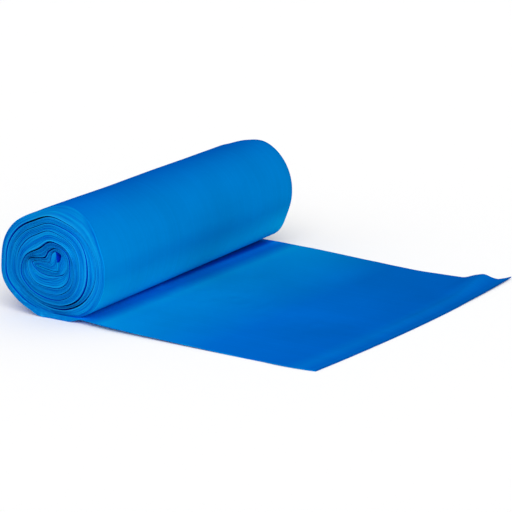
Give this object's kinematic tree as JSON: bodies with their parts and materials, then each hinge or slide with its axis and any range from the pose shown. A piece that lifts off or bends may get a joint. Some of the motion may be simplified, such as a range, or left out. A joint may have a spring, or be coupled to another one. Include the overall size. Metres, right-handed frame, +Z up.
{
  "type": "bin bag roll",
  "caption": "Coreless roll of blue plastic bin bags, partly unrolled, with its loose leaf lying out flat and one corner curled.",
  "frame": {"origin": "on the floor under the middle of the roll, in the small flat spot that the roll rests on", "axes": "+X along the unrolled leaf, away from the roll; +Y along the roll's axis, from its near end to its far end; +Z up"},
  "size_m": [0.3037, 0.309, 0.0936],
  "materials": {
    "film": "satin translucent film, dense blue"
  },
  "bodies": {
    "root": {"bag_roll": "film"}
  },
  "joints": []
}
